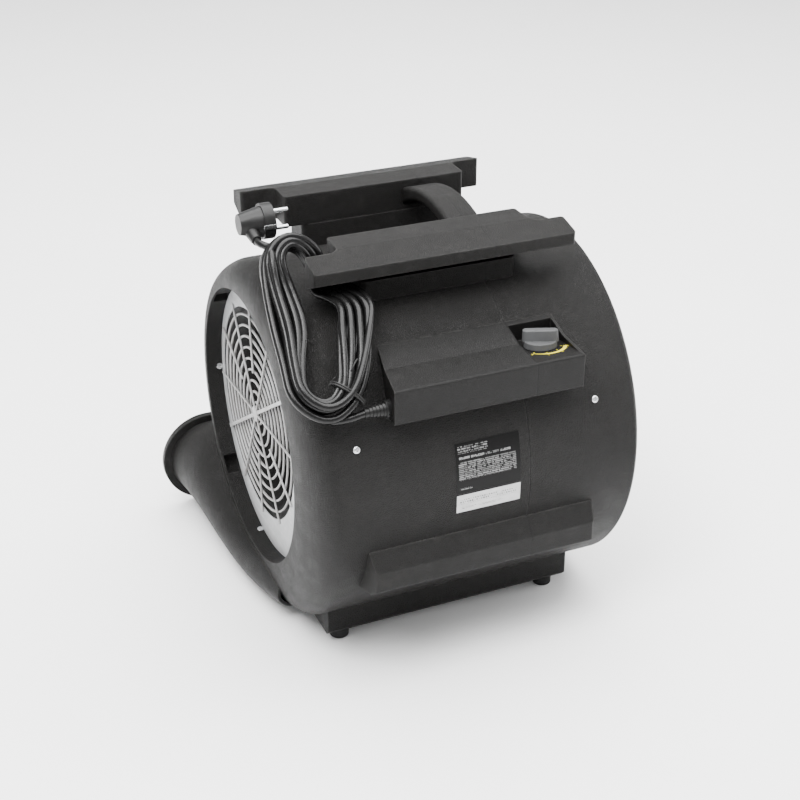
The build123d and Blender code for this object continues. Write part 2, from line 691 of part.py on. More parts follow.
def platform_z(y):
    """Height of the sloping platform at y."""
    return PLATFORM_Z - (y - BOX_REAR) * tan(radians(PLATFORM_TILT))


def alcove_solid(drop, margin):
    """The space above the platform, lowered by drop and grown sideways by margin."""
    y0, y1 = BOX_REAR - 10, ALCOVE_BACK + margin
    section = [(y0, platform_z(y0) - drop), (y1, platform_z(y1) - drop), (y1, 390), (y0, 390)]
    return prism_x(section, PLATFORM_X0 - margin, PLATFORM_X1 + margin)


knob_normal = Vector(0, sin(radians(PLATFORM_TILT)), cos(radians(PLATFORM_TILT)))
knob_plane = Plane(origin=(KNOB_X, KNOB_Y, platform_z(KNOB_Y)), x_dir=(1, 0, 0), z_dir=knob_normal)

GLAND_Y, GLAND_Z = -205.0, 332.0
GLAND_X0, GLAND_X1 = -96.0, -124.0
gland_axis = Axis((0, GLAND_Y, GLAND_Z), (1, 0, 0))
with BuildPart() as cord_gland:
    with BuildSketch(Plane(origin=(0, GLAND_Y, GLAND_Z), x_dir=(1, 0, 0), z_dir=(0, -1, 0))):
        with BuildLine():
            Polyline(
                (GLAND_X0 + 6, 0), (GLAND_X0 + 6, 7), (-101, 7), (-101, 9.5), (-109, 9.5), (-110, 7.5),
                (GLAND_X1, 5.5), (GLAND_X1, 0), close=True,
            )
        make_face()
    revolve(axis=gland_axis)
save(cord_gland, "cord_gland")

box_void = [
    (BOX_REAR + BOX_WALL, BOX_Z0 + BOX_WALL), (BOX_REAR + BOX_WALL, BOX_Z1 - BOX_WALL), (-180, 359.4),
    (BOX_BACK + 5, 372.3), (BOX_BACK + 5, BOX_Z0 + BOX_WALL),
]
box_void_plan = [
    (BOX_X0 + BOX_WALL, BOX_REAR), (BOX_X1 - BOX_WALL, BOX_REAR), (BOX_X1 - BOX_WALL, BOX_BACK + 5),
    (BOX_X0_IN + BOX_WALL + 0.9, BOX_BACK + 5),
]
with BuildPart() as box_hollow:
    add(prism_x(box_void, BOX_X0, BOX_X1))
    add(prism_z(box_void_plan, BOX_Z0 - 10, 390), mode=Mode.INTERSECT)
    add(alcove_solid(3, 3), mode=Mode.SUBTRACT)

with BuildPart() as switch_box:
    add(box_envelope.part)
    add(box_hollow.part, mode=Mode.SUBTRACT)
    add(alcove_solid(0, 0), mode=Mode.SUBTRACT)
    add(cord_gland.part, mode=Mode.SUBTRACT)
    with BuildSketch(knob_plane.offset(-10)):
        Circle(6.1)
    extrude(amount=20, mode=Mode.SUBTRACT)
save(switch_box, "switch_box")

COVER_T = 1.5
cover_plane = Plane(origin=(0, BOX_BACK + COVER_T, 0), x_dir=(1, 0, 0), z_dir=(0, -1, 0))
with BuildPart() as switch_box_cover:
    with BuildSketch(cover_plane):
        with Locations((8, 345.5)):
            RectangleRounded(198, 43, 3)
    extrude(amount=COVER_T)
save(switch_box_cover, "switch_box_cover")

with BuildPart() as cover_screws:
    with BuildSketch(cover_plane):
        with Locations((8, 345.5)):
            with GridLocations(188, 34, 2, 2):
                Circle(3)
    extrude(amount=-2)
save(cover_screws, "cover_screws")

SWITCH_BODY, SWITCH_DEPTH, SWITCH_NECK_R, SPINDLE_R = 30.0, 18.0, 6.0, 3.0
with BuildPart() as rotary_switch:
    with BuildSketch(knob_plane.offset(-3 - SWITCH_DEPTH)):
        RectangleRounded(SWITCH_BODY, SWITCH_BODY, 2)
    extrude(amount=SWITCH_DEPTH)
    with BuildSketch(knob_plane.offset(-3)):
        Circle(SWITCH_NECK_R)
    extrude(amount=6)
    with BuildSketch(knob_plane.offset(-16)):
        Circle(SPINDLE_R + 0.06)
    extrude(amount=19, mode=Mode.SUBTRACT)
save(rotary_switch, "rotary_switch")

with BuildPart() as switch_nut:
    with BuildSketch(knob_plane):
        RegularPolygon(9, 6)
        Circle(SWITCH_NECK_R, mode=Mode.SUBTRACT)
    extrude(amount=2.5)
save(switch_nut, "switch_nut")

KNOB_GAP, KNOB_BASE_H, KNOB_H, KNOB_GRIP_W = 0.5, 7.0, 19.0, 12.0
KNOB_REST = -28.0
with BuildPart() as speed_knob:
    with BuildSketch(knob_plane.offset(KNOB_GAP)):
        Circle(KNOB_BASE_R)
    extrude(amount=KNOB_BASE_H - KNOB_GAP, taper=5)
    with BuildSketch(knob_plane.offset(KNOB_BASE_H - 1)):
        with PolarLocations(0, 1, start_angle=KNOB_REST):
            SlotOverall(2 * KNOB_R, KNOB_GRIP_W)
    extrude(amount=KNOB_H - KNOB_BASE_H + 1, taper=3)
    fillet(speed_knob.faces().sort_by(Axis.Z)[-1].edges(), 1.5)
    with BuildSketch(knob_plane.offset(KNOB_GAP)):
        Circle(11)
    extrude(amount=4, mode=Mode.SUBTRACT)
    with BuildSketch(knob_plane.offset(KNOB_GAP)):
        Circle(SPINDLE_R)
    extrude(amount=15, mode=Mode.SUBTRACT)
save(speed_knob, "speed_knob")

with BuildPart() as knob_spindle:
    with BuildSketch(knob_plane.offset(-15)):
        Circle(SPINDLE_R)
    extrude(amount=15 + KNOB_GAP + 15)
save(knob_spindle, "knob_spindle")

SCALE_R0, SCALE_R1, SCALE_SHIFT = 24.5, 25.8, 2.4
SCALE_FROM, SCALE_TO = -136.0, -26.0
with BuildPart() as dial_scale:
    with BuildSketch(knob_plane):
        with Locations((SCALE_SHIFT * cos(radians(SCALE_TO)), SCALE_SHIFT * sin(radians(SCALE_TO)))):
            Circle(SCALE_R1)
        Circle(SCALE_R0 - 0.4, mode=Mode.SUBTRACT)
        with BuildLine():
            Polyline(
                (0, 0), (60 * cos(radians(SCALE_FROM)), 60 * sin(radians(SCALE_FROM))), (0, -80),
                (60 * cos(radians(SCALE_TO)), 60 * sin(radians(SCALE_TO))), close=True,
            )
        make_face(mode=Mode.INTERSECT)
    extrude(amount=0.3)
save(dial_scale, "dial_scale")

BLOCK_AT = (-62, -190)
with BuildPart() as terminal_block:
    with BuildSketch(Plane.XY.offset(BOX_Z0 + 3)):
        with Locations(BLOCK_AT):
            Rectangle(42, 16)
    extrude(amount=14)
    with BuildSketch(Plane.XY.offset(BOX_Z0 + 17)):
        with Locations(BLOCK_AT):
            with GridLocations(10, 1, 4, 1):
                Circle(3)
    extrude(amount=-6, mode=Mode.SUBTRACT)
save(terminal_block, "terminal_block")

CAP_R, CAP_X0, CAP_X1, CAP_Y = 14.0, -25.0, 45.0, -186.0
cap_plane = Plane(origin=(CAP_X0, CAP_Y, BOX_Z0 + 4 + CAP_R), x_dir=(0, 1, 0), z_dir=(1, 0, 0))
with BuildPart() as capacitor:
    with BuildSketch(cap_plane):
        Circle(CAP_R)
    extrude(amount=CAP_X1 - CAP_X0)
    fillet(capacitor.edges(), 1.5)
save(capacitor, "capacitor")

with BuildPart() as capacitor_clamp:
    with BuildSketch(cap_plane.offset(28)):
        Circle(CAP_R + 1)
        with Locations((0, -CAP_R)):
            Rectangle(50, 2)
        Circle(CAP_R, mode=Mode.SUBTRACT)
    extrude(amount=12)
save(capacitor_clamp, "capacitor_clamp")

# ---------------------------------------------------------------- labels on the drum's skin
LABEL_T = 0.25
with BuildPart() as label_skin:
    with BuildSketch(drum_plane.offset(-34)):
        Circle(DRUM_R + LABEL_T)
        Circle(DRUM_R, mode=Mode.SUBTRACT)
    extrude(amount=75)

for name, z0, z1 in (("rating_label", 222.5, 278), ("serial_strip", 199, 220)):
    with BuildPart() as label:
        add(label_skin.part)
        add(prism_x([(-240, z0), (-200, z0), (-200, z1), (-240, z1)], -60, 60), mode=Mode.INTERSECT)
    save(label, name)

# ---------------------------------------------------------------- mains cord
CORD_R = CORD_D / 2
# Hank stations round the loop: (x, y, z, width in the loop's plane, thickness across it)
HANK = [
    (-167, -199, 344, 44, 18), (-145, -196, 354, 36, 18), (-129, -177, 376, 41, 16),
    (-118, -150, 397, 48, 15), (-107, -124, 409, 46, 14), (-119, -99, 414, 38, 14),
    (-131, -84, 417.3, 33, 14), (-132, -77, 434, 28, 16.5),
    (-141, -70, 458, 24, 22), (-160, -69, 469.5, 22, 22), (-176, -78, 458, 27, 20), (-178, -97, 432, 37, 18),
    (-179, -131, 401, 44, 18), (-183, -160, 376, 42, 18), (-187, -187, 354, 40, 18),
]
HANK_LIFT_Z = 430.0


def hank_plane(index):
    """The section plane of one hank station, its x along the width."""
    here = Vector(*HANK[index % len(HANK)][:3])
    along = (Vector(*HANK[(index + 1) % len(HANK)][:3]) - Vector(*HANK[index - 1][:3])).normalized()
    on_drum = here.Z < HANK_LIFT_Z
    facing = Vector(0, here.Y - DRUM_Y, here.Z - DRUM_Z) if on_drum else Vector(0, -0.8, 0.6)
    facing = facing.normalized()
    across = (facing - along * facing.dot(along)).normalized()
    return Plane(origin=here, x_dir=across.cross(along), z_dir=along)


def hank_half(first, last):
    with BuildPart() as half:
        for index in range(first, last + 1):
            width, thickness = HANK[index % len(HANK)][3:]
            with BuildSketch(hank_plane(index)):
                RectangleRounded(width, thickness, 6)
        loft(ruled=True)
    return half.part


with BuildPart() as cord_hank:
    add(hank_half(0, 7))
    add(hank_half(7, len(HANK)))
save(cord_hank, "power_cord_hank")


def cord_tube(points, name):
    """A round cord along straight runs joined by arcs that fill the shorter run at each corner."""
    corners = [Vector(*point) for point in points]
    radii = []
    for before, here, after in zip(corners, corners[1:], corners[2:]):
        turn = radians((here - before).get_angle(after - here))
        shorter = min((here - before).length, (after - here).length)
        radii.append(0.45 * shorter / tan(turn / 2))
    print(name, "radii", [round(radius, 1) for radius in radii])
    with BuildPart() as tube:
        with BuildLine() as path:
            FilletPolyline(*corners, radius=radii)
        with BuildSketch(Plane(origin=path.line @ 0, z_dir=path.line % 0)):
            Circle(CORD_R)
        sweep(transition=Transition.ROUND)
    length = path.wires()[0].length
    print(name, "volume", round(tube.part.volume), "section x length", round(pi * CORD_R**2 * length))
    return tube


LEAD_ROUTE = [
    (GLAND_X1, GLAND_Y, GLAND_Z), (-131, GLAND_Y, GLAND_Z), (-138.5, -206, 331), (-147, -208, 331),
]
cord_lead = cord_tube(LEAD_ROUTE, "power_cord_lead")
save(cord_lead, "power_cord_lead")
PLUG_Y, PLUG_Z = -20.0, 477.0
PLUG_X0, PLUG_FACE_X0, PLUG_X1 = -196.0, -172.0, -160.0
PLUG_EXIT = (-184, -44, 466)
PLUG_LEAD_ROUTE = [PLUG_EXIT, (-184, -50, 466), (-181, -57, 465.5), (-175, -64, 464.5)]
plug_lead = cord_tube(PLUG_LEAD_ROUTE, "power_cord_plug_lead")
save(plug_lead, "power_cord_plug_lead")

plug_plane = Plane(origin=(0, PLUG_Y, PLUG_Z), x_dir=(0, 1, 0), z_dir=(1, 0, 0))
with BuildPart() as plug_body:
    with BuildSketch(plug_plane.offset(PLUG_FACE_X0)):
        Circle(19)
    extrude(amount=PLUG_X1 - PLUG_FACE_X0)
    with BuildSketch(plug_plane.offset(PLUG_X0)):
        Circle(11)
    with BuildSketch(plug_plane.offset(PLUG_FACE_X0 + 1)):
        Circle(17)
    loft()
    with BuildSketch(Plane(origin=(-184, PLUG_Y, PLUG_Z - 3), x_dir=(1, 0, 0), z_dir=(0, -1, 0))):
        Circle(9)
    with BuildSketch(Plane(origin=PLUG_EXIT, x_dir=(1, 0, 0), z_dir=(0, -1, 0))):
        Circle(5.2)
    loft()
save(plug_body, "plug_body")

with BuildPart() as plug_pins:
    with BuildSketch(plug_plane.offset(PLUG_X1)):
        with GridLocations(1, 19, 1, 2):
            Circle(2.4)
    extrude(amount=19)
    fillet(plug_pins.edges().group_by(Axis.X)[-1], 1.2)
save(plug_pins, "plug_pins")

with BuildPart() as plug_earth:
    with BuildSketch(plug_plane.offset(PLUG_FACE_X0 - 2)):
        with GridLocations(39, 1, 2, 1):
            Rectangle(1.0, 5)
    extrude(amount=PLUG_X1 - PLUG_FACE_X0 + 2)
save(plug_earth, "plug_earth_contacts")

TIE_R, TIE_AT = 0.9, 1
tie_width, tie_thickness = HANK[TIE_AT][3:]
with BuildPart() as cord_tie:
    with BuildSketch(hank_plane(TIE_AT).offset(-TIE_R)):
        RectangleRounded(tie_width + 5.6, tie_thickness + 5.6, 8.8)
        RectangleRounded(tie_width + 2, tie_thickness + 2, 7, mode=Mode.SUBTRACT)
    extrude(amount=2 * TIE_R)
save(cord_tie, "cord_tie")
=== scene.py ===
import random
from math import cos, pi, radians, sin

import bmesh
import bpy
from mathutils import Matrix, Vector


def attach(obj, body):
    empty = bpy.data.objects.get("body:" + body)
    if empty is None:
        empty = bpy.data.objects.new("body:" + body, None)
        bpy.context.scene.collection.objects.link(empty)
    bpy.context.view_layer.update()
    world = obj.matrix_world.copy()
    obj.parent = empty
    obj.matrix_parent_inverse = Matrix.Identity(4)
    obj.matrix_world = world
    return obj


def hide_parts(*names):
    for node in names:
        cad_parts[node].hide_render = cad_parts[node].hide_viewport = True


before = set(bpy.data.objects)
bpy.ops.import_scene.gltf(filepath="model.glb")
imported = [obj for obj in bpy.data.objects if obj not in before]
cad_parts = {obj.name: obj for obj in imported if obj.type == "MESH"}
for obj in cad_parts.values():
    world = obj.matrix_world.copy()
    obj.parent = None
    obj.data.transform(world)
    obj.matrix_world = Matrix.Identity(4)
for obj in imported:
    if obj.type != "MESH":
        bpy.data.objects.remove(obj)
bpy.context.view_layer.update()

MM = 0.001


def mm(*values):
    """A point given in millimetres, in metres."""
    return Vector(values) * MM


# ---------------------------------------------------------------- camera, floor and light
# The camera stands CAMERA_TURN round from the rear, -Y, towards -X, looks down by CAMERA_DOWN, and has no roll
CAMERA_TURN, CAMERA_DOWN = radians(23.2525), radians(28.2104)
CAMERA_PLACE = Vector((-0.6017, -1.3912, 1.0318))
camera_data = bpy.data.cameras.new("camera")
camera_data.lens = 65.4
camera_data.sensor_width = 36.0
camera = bpy.data.objects.new("camera", camera_data)
bpy.context.scene.collection.objects.link(camera)
turn = Matrix.Rotation(-CAMERA_TURN, 4, "Z") @ Matrix.Rotation(pi / 2 - CAMERA_DOWN, 4, "X")
camera.matrix_world = Matrix.Translation(CAMERA_PLACE) @ turn
bpy.context.scene.camera = camera

world = bpy.data.worlds.new("studio")
world.use_nodes = True
world.node_tree.nodes["Background"].inputs["Color"].default_value = (1.0, 1.0, 1.0, 1.0)
world.node_tree.nodes["Background"].inputs["Strength"].default_value = 1.0
bpy.context.scene.world = world


def softbox(name, place, target, size, power):
    """A square area light, aimed at a point."""
    data = bpy.data.lights.new(name, "AREA")
    data.shape = "SQUARE"
    data.size = size
    data.energy = power
    lamp = bpy.data.objects.new(name, data)
    bpy.context.scene.collection.objects.link(lamp)
    lamp.location = place
    lamp.rotation_euler = (Vector(target) - Vector(place)).to_track_quat("-Z", "Y").to_euler()


softbox("key", (-1.3, -0.9, 2.6), (0, 0, 0.25), 1.2, 110)
softbox("top", (0.2, 0.2, 3.2), (0, 0, 0.0), 4.0, 520)
softbox("side", (2.2, -0.7, 1.3), (0, 0, 0.3), 1.0, 26)


# ---------------------------------------------------------------- procedural finishes
class Finish:
    """One Principled material, with the node chains that the finishes share."""

    def __init__(self, name, **shader):
        self.material = bpy.data.materials.new(name)
        self.material.use_nodes = True
        self.tree = self.material.node_tree
        self.shader = self.tree.nodes["Principled BSDF"]
        for key, value in shader.items():
            self.shader.inputs[key.replace("_", " ")].default_value = value
        self.place = self.add("ShaderNodeTexCoord").outputs["Object"]
        self.normal = None

    def add(self, kind, inputs=None, **settings):
        """A node with its settings, its inputs given as values or as sockets."""
        made = self.tree.nodes.new(kind)
        for key, value in settings.items():
            setattr(made, key, value)
        for key, value in (inputs or {}).items():
            if isinstance(value, bpy.types.NodeSocket):
                self.tree.links.new(value, made.inputs[key])
            else:
                made.inputs[key].default_value = value
        return made

    def noise(self, scale, detail=4.0, rough=0.55, place=None):
        values = {"Vector": place or self.place, "Scale": scale, "Detail": detail, "Roughness": rough}
        return self.add("ShaderNodeTexNoise", values).outputs[0]

    def cells(self, scale, feature="F1"):
        values = {"Vector": self.place, "Scale": scale}
        return self.add("ShaderNodeTexVoronoi", values, feature=feature).outputs["Distance"]

    def stretched(self, scale):
        """The object's coordinates, scaled differently along each axis."""
        values = {"Vector": self.place, "Scale": scale}
        return self.add("ShaderNodeMapping", values).outputs["Vector"]

    def remap(self, value, low, high, to_low=0.0, to_high=1.0):
        values = {"Value": value, "From Min": low, "From Max": high, "To Min": to_low, "To Max": to_high}
        return self.add("ShaderNodeMapRange", values).outputs["Result"]

    def maths(self, operation, first, second=0.0):
        return self.add("ShaderNodeMath", {0: first, 1: second}, operation=operation).outputs[0]

    def mix(self, factor, first, second):
        made = self.add("ShaderNodeMix", {0: factor, 6: first, 7: second}, data_type="RGBA")
        return made.outputs[2]

    def bump(self, height, distance, strength=1.0):
        values = {"Height": height, "Distance": distance, "Strength": strength}
        if self.normal is not None:
            values["Normal"] = self.normal
        self.normal = self.add("ShaderNodeBump", values).outputs["Normal"]

    def rounded(self, radius):
        """Edges shaded as if they had that radius; returns a mask of the edges."""
        bevel = self.add("ShaderNodeBevel", {"Radius": radius}, samples=4).outputs["Normal"]
        flat = self.add("ShaderNodeNewGeometry").outputs["Normal"]
        same = self.add("ShaderNodeVectorMath", {0: bevel, 1: flat}, operation="DOT_PRODUCT")
        self.normal = bevel
        return self.remap(same.outputs["Value"], 0.985, 0.8)

    def coordinate(self, axis):
        return self.add("ShaderNodeSeparateXYZ", {0: self.place}).outputs[axis]

    def finish(self, colour, rough):
        self.tree.links.new(colour, self.shader.inputs["Base Color"])
        self.tree.links.new(rough, self.shader.inputs["Roughness"])
        if self.normal is not None:
            self.tree.links.new(self.normal, self.shader.inputs["Normal"])
        return self.material


def grey(level, warm=1.0):
    return (level * warm, level, level / warm, 1.0)


def leather_plastic(name, level, grain, grain_depth, dust, edge, rough=0.47, wave=0.0012, seam=None):
    """Black moulded plastic with a fine leather grain, dusty patches and paler edges."""
    f = Finish(name, Specular_IOR_Level=0.14)
    edges = f.rounded(edge)
    broad = f.noise(7.0, 3.0)
    cloud = f.noise(38.0, 6.0, 0.65)
    colour = f.mix(f.remap(broad, 0.3, 0.7), grey(level * 0.8, 1.05), grey(level * 1.25, 1.05))
    dusty = f.remap(cloud, 0.56, 0.76, 0.0, dust)
    colour = f.mix(dusty, colour, grey(0.028, 1.05))
    speck = f.remap(f.noise(420.0, 2.0, 0.7), 0.66, 0.74, 0.0, 0.25)
    colour = f.mix(speck, colour, grey(0.03))
    worn = f.maths("MULTIPLY", edges, f.remap(f.noise(60.0, 5.0), 0.3, 0.65, 0.25, 0.9))
    colour = f.mix(worn, colour, grey(0.045, 1.03))
    f.bump(broad, wave)
    creases = f.remap(f.cells(grain, "DISTANCE_TO_EDGE"), 0.0, 0.22)
    f.bump(creases, grain_depth)
    f.bump(f.noise(grain * 2.3, 3.0, 0.6), grain_depth * 0.5)
    if seam is not None:
        away = f.maths("ABSOLUTE", f.maths("SUBTRACT", f.coordinate("X"), seam))
        line = f.remap(away, 0.0002, 0.0009)
        colour = f.mix(line, grey(level * 0.6), colour)
        f.bump(line, 0.00025)
    return f.finish(colour, f.remap(f.maths("ADD", cloud, speck), 0.3, 0.75, rough - 0.06, rough + 0.12))


def sheet_metal(name, level, rough, flow, spangle=0.0, metallic=1.0):
    """Rolled or drawn metal: fine streaks one way, faint spangle and stains."""
    f = Finish(name, Metallic=metallic)
    edges = f.rounded(0.0004)
    streak = f.noise(1.0, 3.0, 0.6, f.stretched(flow))
    stain = f.noise(24.0, 6.0, 0.7)
    colour = f.mix(f.remap(streak, 0.3, 0.7), grey(level * 0.86, 0.99), grey(level * 1.08, 0.99))
    flakes = f.remap(f.cells(140.0), 0.1, 0.7, 0.0, spangle)
    colour = f.mix(flakes, colour, grey(level * 0.7, 0.98))
    colour = f.mix(f.remap(stain, 0.55, 0.8, 0.0, 0.5), colour, grey(level * 0.45, 1.03))
    colour = f.mix(f.maths("MULTIPLY", edges, 0.5), colour, grey(min(1.0, level * 1.3)))
    f.bump(streak, 0.00006)
    return f.finish(colour, f.remap(f.maths("ADD", stain, flakes), 0.35, 0.95, rough, rough + 0.2))


def coated_wire(name, level):
    """Grey paint on steel wire, a little thin on its high spots."""
    f = Finish(name, Specular_IOR_Level=0.5)
    skin = f.noise(160.0, 4.0, 0.6)
    dull = f.noise(30.0, 5.0)
    colour = f.mix(f.remap(dull, 0.35, 0.7), grey(level), grey(level * 0.72, 1.03))
    colour = f.mix(f.remap(skin, 0.62, 0.72, 0.0, 0.4), colour, grey(level * 0.45, 1.05))
    f.bump(skin, 0.00015)
    return f.finish(colour, f.remap(dull, 0.3, 0.7, 0.3, 0.45))


def soft_rubber(name, level, rough):
    """Satin rubber or PVC with a fine skin, lint and a faint bloom."""
    f = Finish(name, Specular_IOR_Level=0.22)
    skin = f.noise(900.0, 3.0, 0.6)
    bloom = f.noise(45.0, 5.0, 0.65)
    colour = f.mix(f.remap(bloom, 0.4, 0.7), grey(level), grey(level * 1.7, 1.02))
    colour = f.mix(f.remap(skin, 0.64, 0.72, 0.0, 0.3), colour, grey(0.03))
    f.bump(f.noise(120.0, 3.0), 0.0003)
    f.bump(skin, 0.00008)
    return f.finish(colour, f.remap(bloom, 0.35, 0.7, rough, rough + 0.16))


def moulded(name, colour_low, colour_high, rough, edge=0.0006):
    """Small injection-moulded parts: fine spark texture and tidy edges."""
    f = Finish(name, Specular_IOR_Level=0.2)
    edges = f.rounded(edge)
    patch = f.noise(50.0, 4.0)
    spark = f.noise(1500.0, 2.0, 0.6)
    colour = f.mix(f.remap(patch, 0.35, 0.65), colour_low, colour_high)
    colour = f.mix(f.maths("MULTIPLY", edges, 0.25), colour, grey(0.2))
    f.bump(spark, 0.00005)
    return f.finish(colour, f.remap(patch, 0.3, 0.7, rough, rough + 0.1))


def printed_film(name, film, ink, blocks):
    """A plastic label with generic bars in blocks, each (low z, high z, left x, right x, row height, bar length)."""
    f = Finish(name, Specular_IOR_Level=0.12)
    x, z = f.coordinate("X"), f.coordinate("Z")
    flat = f.add("ShaderNodeCombineXYZ", {"X": x, "Y": z}).outputs[0]
    stain = f.noise(90.0, 4.0)
    darker = tuple(channel * 0.8 for channel in film[:3]) + (1.0,)
    colour = f.mix(f.remap(stain, 0.4, 0.7), film, darker)
    for low, high, left, right, row, word in blocks:
        values = {
            "Vector": flat, "Scale": 1.0, "Color1": (1, 1, 1, 1), "Color2": (0.45, 0.45, 0.45, 1),
            "Mortar": (0, 0, 0, 1), "Mortar Size": row * 0.2, "Mortar Smooth": 0.1, "Bias": 0.0,
            "Brick Width": word, "Row Height": row,
        }
        bars = f.add("ShaderNodeTexBrick", values, offset=0.37).outputs["Color"]
        shown = f.maths("MULTIPLY", bars, f.remap(f.noise(300.0, 1.0), 0.36, 0.46))
        for value, edge, side in ((z, low, "GREATER_THAN"), (z, high, "LESS_THAN"),
                                  (x, left, "GREATER_THAN"), (x, right, "LESS_THAN")):
            shown = f.maths("MULTIPLY", shown, f.maths(side, value, edge))
        colour = f.mix(shown, colour, ink)
    f.bump(f.noise(300.0, 2.0), 0.00004)
    return f.finish(colour, f.remap(stain, 0.3, 0.7, 0.3, 0.42))


# Blocks of bars with no meaning, in metres: see printed_film
LABEL_BLOCKS = [
    (0.2668, 0.2745, -0.031, 0.004, 0.0026, 0.0062),
    (0.2600, 0.2640, -0.030, 0.030, 0.0040, 0.0170),
    (0.2375, 0.2580, -0.031, 0.036, 0.0020, 0.0105),
    (0.2265, 0.2285, -0.031, -0.016, 0.0020, 0.0050),
]
STRIP_BLOCKS = [
    (0.2090, 0.2150, -0.030, 0.036, 0.0030, 0.0027),
    (0.2030, 0.2050, -0.028, 0.020, 0.0020, 0.0040),
]
YELLOW = (0.50, 0.42, 0.02, 1.0)
FINISHES = {
    "drum": leather_plastic("drum_leather", 0.006, 480.0, 0.0005, 0.25, 0.003, 0.44, 0.0016, 0.053),
    "rails": leather_plastic("rail_leather", 0.006, 520.0, 0.0004, 0.4, 0.003, 0.47, 0.0012, 0.053),
    "box": leather_plastic("box_leather", 0.0045, 600.0, 0.00022, 0.15, 0.002, 0.4, 0.001, 0.0545),
    "plate": sheet_metal("galvanised", 0.4, 0.42, (14.0, 9.0, 520.0), 0.25, 0.3),
    # The wheel and motor core are made near black so that the inside of the drum reads dark: painted shade
    "wheel": sheet_metal("wheel_steel", 0.05, 0.4, (30.0, 30.0, 320.0), 0.3, 0.7),
    "zinc": sheet_metal("zinc", 0.72, 0.2, (900.0, 900.0, 260.0)),
    "pin": sheet_metal("nickel", 0.7, 0.16, (120.0, 900.0, 900.0)),
    "shaft": sheet_metal("shaft_steel", 0.5, 0.3, (700.0, 60.0, 60.0)),
    "guard": coated_wire("guard_paint", 0.3),
    "grille": coated_wire("grille_paint", 0.1),
    "cord": soft_rubber("cord_rubber", 0.0035, 0.16),
    "plug": soft_rubber("plug_rubber", 0.005, 0.3),
    "foot": soft_rubber("foot_rubber", 0.01, 0.6),
    "tie": soft_rubber("tie_pvc", 0.008, 0.34),
    "knob": moulded("knob_plastic", grey(0.05, 0.985), grey(0.062, 0.98), 0.42, 0.001),
    "scale": moulded("scale_ink", YELLOW, (0.42, 0.36, 0.02, 1.0), 0.45, 0.0001),
    "switch": moulded("switch_plastic", grey(0.03), grey(0.04), 0.45),
    "terminal": moulded("terminal_plastic", grey(0.4), grey(0.46), 0.4),
    "can": moulded("capacitor_shell", grey(0.3), grey(0.35), 0.35),
    "motor": moulded("motor_paint", (0.03, 0.035, 0.045, 1.0), (0.045, 0.05, 0.06, 1.0), 0.42),
    "label": printed_film("label_film", grey(0.003), grey(0.2), LABEL_BLOCKS),
    "strip": printed_film("strip_film", grey(0.5), grey(0.03), STRIP_BLOCKS),
}
NODE_FINISH = {
    "drum": ("housing_left", "housing_right", "outlet_duct", "outlet_collar", "base_block"),
    "rails": (
        "front_top_rail", "rear_top_rail", "front_rail_neck", "rear_rail_neck", "rear_stand_bar",
        "carry_handle",
    ),
    # The inlet cones take the black box finish so that the inside of the drum reads dark: painted shade
    "box": ("switch_box", "switch_box_cover", "inlet_cone_left", "inlet_cone_right"),
    "plate": ("intake_plate_left", "intake_plate_right"),
    # Impeller and motor core parts take the near-black wheel finish: painted shade inside the drum
    "wheel": (
        "blades_left", "blades_right", "impeller_disc", "impeller_rings", "impeller_hub", "motor_stator",
        "motor_rotor",
    ),
    "zinc": (
        "plate_screws", "drum_screws", "cover_screws", "foot_screws", "spider_bolts", "switch_nut",
        "guard_spacers_right", "capacitor_clamp",
    ),
    "pin": ("plug_pins", "plug_earth_contacts"),
    "shaft": ("motor_shaft", "motor_bearings", "knob_spindle"),
    "guard": ("guard_rings_left", "guard_rings_right", "guard_spokes_left", "guard_spokes_right"),
    "grille": ("outlet_grille", "motor_spider"),
    "cord": ("power_cord_hank", "power_cord_lead", "power_cord_plug_lead"),
    "plug": ("plug_body", "cord_gland"),
    "foot": ("rubber_feet",),
    "tie": ("cord_tie",),
    "knob": ("speed_knob",),
    "scale": ("dial_scale",),
    "switch": ("rotary_switch",),
    "terminal": ("terminal_block",),
    "can": ("capacitor",),
    "motor": ("motor_case", "motor_end_bell_left", "motor_end_bell_right"),
    "label": ("rating_label",),
    "strip": ("serial_strip",),
}
for key, names in NODE_FINISH.items():
    for name in names:
        for material_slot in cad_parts[name].material_slots:
            material_slot.material = FINISHES[key]


# ---------------------------------------------------------------- helpers for new pieces
SHARP_ANGLE = radians(32)
DOME_BEND, DOME_STEPS = radians(75), 6
RIM_SHARE = 0.35


def piece(name, data, key, body="housing"):
    """A new object with its finish and the body it rides on."""
    made = bpy.data.objects.new(name, data)
    bpy.context.scene.collection.objects.link(made)
    made.data.materials.append(FINISHES[key])
    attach(made, body)
    return made


def frame_on(origin, axis):
    """A matrix with its Z along axis and its origin at a point."""
    turn_to = Vector(axis).to_track_quat("Z", "Y").to_matrix().to_4x4()
    return Matrix.Translation(origin) @ turn_to


def turned(profile, segments=40):
    """A closed turned mesh about Z; the profile is (height, radius) pairs from axis to axis."""
    mesh = bmesh.new()
    rings = []
    for height, radius in profile:
        if radius == 0:
            rings.append([mesh.verts.new((0, 0, height))])
            continue
        angles = [2 * pi * k / segments for k in range(segments)]
        rings.append([mesh.verts.new((radius * cos(angle), radius * sin(angle), height)) for angle in angles])
    for lower, upper in zip(rings, rings[1:]):
        for k in range(segments):
            after = (k + 1) % segments
            corners = [
                lower[k % len(lower)], lower[after % len(lower)], upper[after % len(upper)], upper[k % len(upper)],
            ]
            kept = []
            for corner in corners:
                if corner not in kept:
                    kept.append(corner)
            mesh.faces.new(kept)
    bmesh.ops.recalc_face_normals(mesh, faces=mesh.faces)
    return mesh


